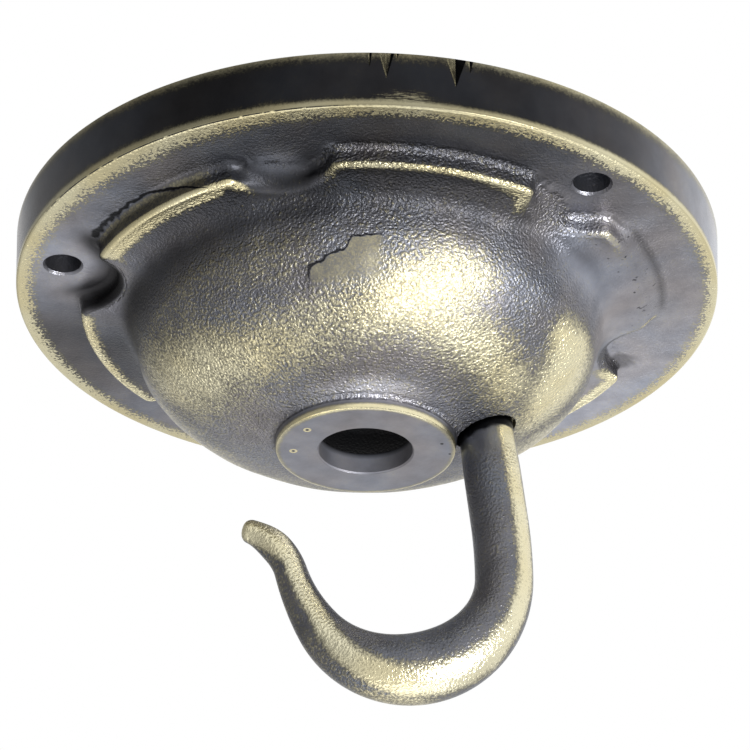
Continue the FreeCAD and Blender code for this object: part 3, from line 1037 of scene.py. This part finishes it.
def hook_stations():
    # Distance from the shoulder and radius, from the peened head to the tip
    stations = []
    cap = (rivet_radius ** 2 + rivet_height ** 2) / (2 * rivet_height)
    cap_turn = math.asin(rivet_radius / cap)
    for share in np.linspace(0.04, 1, 9):
        angle = cap_turn * share
        stations.append((-spigot_grip - rivet_height + cap * (1 - math.cos(angle)), cap * math.sin(angle)))
    # Close pairs of stations keep the head's rim and the shoulder crisp
    stations += [(-spigot_grip + 0.02, rivet_radius - 0.05), (-spigot_grip + 0.03, spigot_radius),
                 (-0.5 * spigot_grip, spigot_radius), (-0.02, spigot_radius), (-0.01, root_radius - 0.2),
                 (0.15, root_radius)]
    body_end = path_length - tip_round
    count = round(body_end / bar_step)
    stations += [(d, section_radius(d)) for d in np.linspace(0.5, body_end, count)]
    end_radius = section_radius(body_end)
    for angle in np.radians(np.linspace(10, 90, 9)):
        radius = end_radius - tip_round * (1 - math.cos(angle))
        stations.append((body_end + tip_round * math.sin(angle), radius))
    return stations


def hook_sweep(hook, material):
    # A round section carried along the path, thick and thin by the path's own radius
    sizes = {"Sides": ("NodeSocketInt", bar_sides)}
    nodes, given, settings = geometry_tree("bar along the path", "Path", sizes)
    thickness = nodes.add("GeometryNodeInputNamedAttribute", {"data_type": "FLOAT"}, {"Name": "thickness"})
    line = nodes.add("GeometryNodeMeshToCurve", inputs={"Mesh": given["Path"]})
    section = nodes.add("GeometryNodeCurvePrimitiveCircle", {"mode": "RADIUS"},
                        {"Resolution": given["Sides"], "Radius": 1.0})
    bar = nodes.add("GeometryNodeCurveToMesh", inputs={"Curve": line, "Profile Curve": section,
                                                       "Scale": thickness, "Fill Caps": True})
    bar = nodes.add("GeometryNodeRealizeInstances", inputs={"Geometry": bar})
    end_tree(nodes, bar, material)
    return apply_tree(hook, nodes.tree, settings)


def paint_hook(mesh):
    points = points_of(mesh)
    along = np.zeros(len(points), np.float32)
    mesh.attributes["along"].data.foreach_get("value", along)
    steps = np.linspace(-spigot_grip - rivet_height - 1, path_length, 600)
    lines = [path_station(d) for d in steps]
    centre_x = np.interp(along, steps, [p.x for p, h in lines])
    centre_z = np.interp(along, steps, [p.z for p, h in lines])
    heading = np.radians(np.interp(along, steps, [h for p, h in lines]))
    # Outer side of the bowl: left of the heading, seen with +X to the right
    across = (points[:, 0] - centre_x) * np.cos(heading) + (points[:, 2] - centre_z) * np.sin(heading)
    # Angle round the bar: 0 at the front, 90 on the outer side
    angle = np.degrees(np.arctan2(across, -points[:, 1]))
    stations, *columns = zip(*hook_stripe)
    middle, width, strength = [np.interp(along, stations, column) for column in columns]
    stripe = strength * fading(np.abs(angle - middle), 0.2 * width, 1.9 * width)
    bowl = smooth(along, thickest - 3, thickest + 3) * fading(along, thickest + 8, thickest + 15)
    under_bowl = 0.42 * bowl * smooth(angle, 60, 80) * fading(angle, 125, 150)
    outer_arm = 0.16 * smooth(along, thickest + 4, thickest + 12) * smooth(angle, 30, 50)
    rub = strongest([stripe, under_bowl, outer_arm]) * smooth(along, 1.5, 4.0)
    # Painted shade on the shank where it enters the dome, deepest on its left
    mouth = seat_depth + 1.3 - 0.9 * np.sin(np.radians(angle)) + 0.5 * bumps(points, 1.5, 3)
    mouth_shade = fading(along, mouth - 0.3, mouth + 0.3) * smooth(along, -0.6, -0.2)
    layers = {"rub": rub * (1 - mouth_shade), "tone": bar_tone * (1 - 0.95 * mouth_shade),
              "grain": spigot_grain + 0.8 * smooth(along, 6, 10),
              "smoothness": 0.40 + 0.15 * fading(along, 5, 9), "ragged": 0 * rub, "painted_light_gain": 0 * rub + 1}
    for name, values in layers.items():
        paint(mesh, name, values)


def hook_piece(material):
    stations = hook_stations()
    places = [path_station(d)[0] * MM for d, r in stations]
    path = bpy.data.meshes.new("hook path")
    path.from_pydata(places, [(i, i + 1) for i in range(len(places) - 1)], [])
    paint(path, "thickness", [r * MM for d, r in stations])
    paint(path, "along", [d for d, r in stations])
    hook = bpy.data.objects.new("forged_hook", path)
    bpy.context.scene.collection.objects.link(hook)
    mesh = hook_sweep(hook, material)
    mesh.name = "forged_hook"
    paint_hook(mesh)
    mesh.shade_smooth()
    mesh.set_sharp_from_angle(angle=math.radians(hook_sharp_angle))
    return hook


# Finishes

# Punch marks and pits on the boss's face: place, radius, and whether a bright burr rings it
boss_pits = [((-9.6, -7.3), 0.3, True), ((-12.0, 0.0), 0.25, True), ((12.6, -2.9), 0.35, False),
             ((14.0, 0.6), 0.28, False)]
burr_radius = 0.5

# Worn patch on the dome, in two steps: where a step ends, or a point (x, z) of a slanting end and its slope
lower_left = -9.3
lower_top = (-4.8, -22.6, 0.33)
upper_left = (-2.3, -20.4, 0.7)
upper_top = -20.2

# Marks on the rim: the crease's radius, the scratches' place round the rim and height; pits of the worn pad
crease_radius = plate_radius - 0.55
scratch_place = (-88.7, -7.8)
worn_pit_size = 1.1111

# Grain size and depth, bare metal and tint of the dark finish
plate_look = (0.46, 0.46, (0.84, 0.78, 0.53), (1.0, 0.99, 1.04))
hook_look = (0.44, 0.26, (0.84, 0.79, 0.57), (0.97, 1.0, 1.08))
bare_roughness = 0.19


def new_finish(name):
    material = bpy.data.materials.new(name)
    material.use_nodes = True
    material.node_tree.nodes.clear()
    return material, NodeTree(material.node_tree)


def worn_patch(nodes, x, y, z, ragged):
    # A smooth patch on the dome's near side, with a cracked upper edge in two steps
    lower_step = (lower_left - x).most(z - lower_top[1] - (x - lower_top[0]) * lower_top[2])
    upper_step = (upper_left[0] - (upper_left[1] - z) * upper_left[2] - x).most(z - upper_top)
    step = lower_step.least(upper_step) + ragged
    fade = (1 - nodes.ramp(x, 0.5, 5.0)) * nodes.ramp(z, -28.0, -25.0) * (1 - nodes.ramp(y, -31.0, -29.0))
    patch = 1 - nodes.ramp(step, -0.15, 0.15)
    crack = 1 - nodes.ramp(step.size(), 0.1, 0.28)
    return patch * fade, crack * fade


def boss_marks(nodes, flat, z):
    # Bright burrs and black pits on the boss's face
    face = 1 - nodes.ramp(z, boss_z + 0.3, boss_z + 0.6)
    burrs, pits = [], []
    for place, reach, ringed in boss_pits:
        away = nodes.add("ShaderNodeVectorMath", {"operation": "DISTANCE"}, {0: flat, 1: (*place, 0)},
                         output="Value")
        pits.append(1 - nodes.ramp(away, 0.6 * reach, reach))
        if ringed:
            burrs.append(1 - nodes.ramp((away - burr_radius).size(), 0.1, 0.25))
    return reduce(Value.most, burrs) * face, reduce(Value.most, pits) * face


def rim_crease(nodes, radius, z, turn, jitter):
    # A broken crease along the rim's lower edge, which shows at the near left
    crease = 1 - nodes.ramp((radius - crease_radius).size() + (z - flange_z - 0.1).size(), 0.05, 0.2)
    crease = crease * nodes.ramp(jitter, 0.28, 0.48) * 0.75
    near_left = nodes.ramp(turn, -165, -150) * (1 - nodes.ramp(turn, -105, -92))
    return crease * (0.15 + 0.85 * near_left)


def rim_scratches(nodes, radius, z, turn):
    # Scratches along the rim's wall, below the file marks
    across = nodes.vector(turn * 0.55, radius, z * 7.0)
    scratches = nodes.ramp(nodes.speckle(across, 1.0, 4.0, 0.65), 0.40, 0.66)
    off, above = (turn - scratch_place[0]).size(), (z - scratch_place[1]).size()
    where = (1 - nodes.ramp(off, 1.0, 6.5)) * (1 - nodes.ramp(above, 0.2, 1.6))
    return scratches * where * nodes.ramp(radius, plate_radius - 0.8, plate_radius - 0.5)


def file_mark_flanks(nodes, radius, z, turn):
    # In each mark the left flank is scored bare metal with a painted highlight along its edge, and the right
    # one is painted black as shade
    scored = nodes.speckle(nodes.vector(turn * 4.0, radius, z * 0.25), 1.0)
    scored = nodes.ramp(scored, 0.35, 0.65)
    on_rim = nodes.ramp(radius, plate_radius - 1.5, plate_radius - 1.2)
    lit, black = [], []
    for angle, width, depth, length, lean in file_marks:
        share = z * (1 / length) + 1
        off = turn - math.radians(angle) * plate_radius
        from_left = off + share * (0.5 * width)
        inside = nodes.ramp(from_left.least(share * (0.5 * width) - off), 0.0, 0.12) * on_rim
        right_flank = nodes.ramp(off - share * (lean * width), -0.06, 0.06)
        glint = 0.30 + 0.40 * scored + 0.45 * (1 - nodes.ramp(from_left, 0.2, 0.4))
        lit.append(inside * (1 - right_flank) * glint)
        black.append(inside * right_flank)
    return reduce(Value.most, lit), reduce(Value.most, black)


def plate_marks(nodes, place, jitter, read):
    # Worn patch, black and bright marks, painted shade and highlights among them, and streaks that run in
    # from the rim; turn is a length round the rim
    x, y, z = nodes.parts(place)
    flat = nodes.add("ShaderNodeVectorMath", {"operation": "MULTIPLY"}, {0: place, 1: (1, 1, 0)})
    radius = nodes.add("ShaderNodeVectorMath", {"operation": "LENGTH"}, {0: flat}, output="Value")
    turn = nodes.math("ARCTAN2", y, x) * plate_radius
    ragged = (jitter - 0.5) * 1.5
    patch, patch_crack = worn_patch(nodes, x, y, z, ragged)
    burrs, pits = boss_marks(nodes, flat, z)
    lit_flanks, shaded_flanks = file_mark_flanks(nodes, radius, z, turn)
    # Crack along the near left pad's foot, widening at its left end into painted shade
    pad_crack_and_shade = 1 - nodes.ramp((read("pad_foot") + ragged * 0.9).size(), 0.18, 0.6)
    specks = nodes.ramp(nodes.speckle(place, worn_pit_size), 0.635, 0.75) * read("pitted") * 0.85
    black = reduce(Value.most, [patch_crack, shaded_flanks, pad_crack_and_shade, specks, pits,
                                rim_crease(nodes, radius, z, turn, jitter)])
    bright = burrs.most(rim_scratches(nodes, radius, z, turn).most(lit_flanks) * 0.75)
    fibre = nodes.speckle(nodes.vector(turn * 3.2, radius * 1.2, z * 1.2), 1.0, 4.0, 0.7)
    return patch, black, bright, fibre


def tinted(colour, shares):
    return tuple(c * s for c, s in zip(colour, shares))


def aged_brass(name, look, marks=None):
    # Dark patina that wears through to bare brass where the piece's own paint says it is rubbed; the painted
    # tone and brightness carry painted light and shade
    grain_size, grain_depth, brass, dark = look
    material, nodes = new_finish(name)
    place = nodes.scaled(nodes.add("ShaderNodeTexCoord", output="Object"), 1 / MM)

    def read(layer):
        return nodes.add("ShaderNodeAttribute", {"attribute_name": layer}, output="Fac")

    rub, grain, tone, smoothness = [read(layer) for layer in ("rub", "grain", "tone", "smoothness")]
    ragged, painted_light_gain = read("ragged"), read("painted_light_gain")
    pits = nodes.speckle(place, grain_size, 1.0, 0.5, 0.2)
    fine = nodes.speckle(place, 0.35 * grain_size, 2.0, 0.6)
    blotch = nodes.speckle(place, 5.0, 3.0, 0.6)
    cloud = nodes.speckle(place, 15.0)
    if marks:
        patch, black, bright, fibre = marks(nodes, place, nodes.speckle(place, 1.6), read)
        border = (fibre - 0.5) + (fine - 0.5) * 0.8 + (pits - 0.5) * 1.5
        rub = rub * (1 - patch) * (1 - black) + patch * 0.27 + bright * 0.8 - black * 0.6 + border * ragged
        grain = grain * (1 - 0.9 * patch)
        tone = (tone + patch * 0.05) * (1 - 0.92 * black)
    worn = rub + (pits - 0.5) * (0.3 + 0.75 * grain) + (fine - 0.5) * 0.4 + (blotch - 0.5) * 0.3
    reach = 0.38 - 0.27 * ragged
    bare = nodes.ramp(worn, 0.5 - reach, 0.5 + reach)
    cool = nodes.mixed(nodes.ramp(cloud, 0.25, 0.75), tinted(dark, (1.05, 0.99, 0.97)),
                       tinted(dark, (0.92, 0.99, 1.12)))
    patina = nodes.mixed(nodes.ramp(worn, 0.0, 0.35), cool, (1.06, 1.0, 0.80))
    patina = nodes.scaled(patina, tone * (0.6 + 0.8 * blotch))
    metal = nodes.mixed(nodes.ramp(cloud, 0.35, 0.65), brass, tinted(brass, (0.94, 0.9, 0.8)))
    colour = nodes.mixed(bare, patina, nodes.scaled(metal, painted_light_gain))
    dull = 0.50 - 0.34 * smoothness + (fine - 0.5) * 0.2
    polished = bare_roughness + (fine - 0.5) * 0.16
    height = pits * grain * 0.8 + fine * (grain * 0.08 + 0.02)
    normal = nodes.add("ShaderNodeBump",
                       inputs={"Strength": 1.0, "Distance": grain_depth * MM, "Height": height})
    surface = nodes.add("ShaderNodeBsdfPrincipled",
                        inputs={"Base Color": colour, "Roughness": dull + (polished - dull) * bare,
                                "Normal": normal, "Metallic": 0.92, "IOR": 1.5, "Specular IOR Level": 0.3})
    nodes.add("ShaderNodeOutputMaterial", inputs={"Surface": surface})
    return material


plate = plate_piece(aged_brass("aged cast brass", plate_look, plate_marks))
hook = hook_piece(aged_brass("aged forged brass", hook_look))
for piece, node, slot in ((plate, "ceiling_plate", "aged_brass_plate"), (hook, "hook", "aged_brass_hook")):
    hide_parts(node)
    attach(piece, "root")


# Studio: a pale floor far below, white surroundings that dim to the left, and two soft lamps

floor_depth = 1200.0
floor_half = 6000.0
floor_tones = ((0.86, 0.86, 0.86), (0.9, 0.9, 0.9))
floor_haze_size = 1 / 3
floor_mirrored = 0.62
dim_side = Vector((-0.97, 0.0, 0.2)).normalized()
lamp_aim = Vector((0, 0, -25))

# Azimuth from +Y towards +X, elevation above the horizon, distance and size, and watts
lamps = {"key lamp": (137, -39, 800, 400, 6.8), "low fill": (0, -75, 900, 900, 3.0)}


def floor_finish():
    # Pale and plain; in the object's mirror images it glows like the surroundings and dims to the left
    material, nodes = new_finish("pale floor")
    place = nodes.add("ShaderNodeTexCoord", output="Object")
    colour = nodes.mixed(nodes.speckle(place, floor_haze_size), *floor_tones)
    surface = nodes.add("ShaderNodeBsdfPrincipled", inputs={"Base Color": colour, "Roughness": 0.7})
    white = nodes.add("ShaderNodeEmission", inputs={"Color": (1, 1, 1, 1), "Strength": 1.0})
    dim = nodes.ramp(nodes.parts(place)[0] * -1, 1.0, 2.0)
    mirrored = nodes.ray("Is Glossy Ray").most(nodes.ray("Is Transmission Ray"))
    surface = nodes.add("ShaderNodeMixShader",
                        inputs={0: floor_mirrored * (1 - 0.75 * dim) * mirrored, 1: surface, 2: white})
    nodes.add("ShaderNodeOutputMaterial", inputs={"Surface": surface})
    return material


corners = [(floor_half * i, floor_half * j, -floor_depth) for i, j in ((-1, -1), (1, -1), (1, 1), (-1, 1))]
floor = new_object("floor", corners, [(0, 1, 2, 3)])
floor.data.materials.append(floor_finish())

world = bpy.data.worlds.new("white surroundings")
world.use_nodes = True
world.node_tree.nodes.clear()
sky = NodeTree(world.node_tree)
seen = sky.ray("Is Camera Ray")
shown = seen.most(sky.ray("Is Glossy Ray")).most(sky.ray("Is Transmission Ray"))
direction = sky.add("ShaderNodeTexCoord", output="Generated")
leftward = sky.add("ShaderNodeVectorMath", {"operation": "DOT_PRODUCT"}, {0: direction, 1: dim_side},
                   output="Value")
room = 1 - 0.65 * sky.ramp(leftward, 0.2, 0.75) * (1 - seen)
background = sky.add("ShaderNodeBackground",
                     inputs={"Color": (1, 1, 1, 1), "Strength": (0.5 + 0.5 * shown) * room})
sky.add("ShaderNodeOutputWorld", inputs={"Surface": background})
bpy.context.scene.world = world
bpy.context.scene.view_settings.view_transform = "Standard"

for name, (azimuth, elevation, distance, size, power) in lamps.items():
    turn, rise = math.radians(azimuth), math.radians(elevation)
    towards = Vector((math.sin(turn) * math.cos(rise), math.cos(turn) * math.cos(rise), math.sin(rise)))
    light = bpy.data.lights.new(name, "AREA")
    light.shape, light.size, light.energy = "DISK", size * MM, power
    lamp = bpy.data.objects.new(name, light)
    lamp.location = (lamp_aim + towards * distance) * MM
    lamp.rotation_mode = "QUATERNION"
    lamp.rotation_quaternion = towards.to_track_quat("Z", "Y")
    lamp.visible_camera = False
    bpy.context.scene.collection.objects.link(lamp)

# Camera at the photograph's place; the frame is taken to be 750 x 750
picture_width = 750.0
focal_pixels = 3131.07
picture_middle = (366.81, 304.72)
camera_place = Vector((0, -457.81, -285.34))
camera_rise = math.radians(31.042)
camera_roll = math.radians(0.4775)
forward = Vector((0, math.cos(camera_rise), math.sin(camera_rise)))
level = Vector((1, 0, 0))
upward = Vector((0, -math.sin(camera_rise), math.cos(camera_rise)))
right = level * math.cos(camera_roll) + upward * math.sin(camera_roll)
above = upward * math.cos(camera_roll) - level * math.sin(camera_roll)
aim = forward + right * ((picture_width / 2 - picture_middle[0]) / focal_pixels)
aim = (aim - above * ((picture_width / 2 - picture_middle[1]) / focal_pixels)).normalized()
side = aim.cross(above).normalized()
camera_data = bpy.data.cameras.new("camera")
camera_data.sensor_width = 36.0
camera_data.lens = focal_pixels * camera_data.sensor_width / picture_width
camera_data.clip_start, camera_data.clip_end = 0.01, 50.0
camera = bpy.data.objects.new("camera", camera_data)
turned = Matrix((side, side.cross(aim), -aim)).transposed()
camera.matrix_world = Matrix.Translation(camera_place * MM) @ turned.to_4x4()
bpy.context.scene.collection.objects.link(camera)
bpy.context.scene.camera = camera
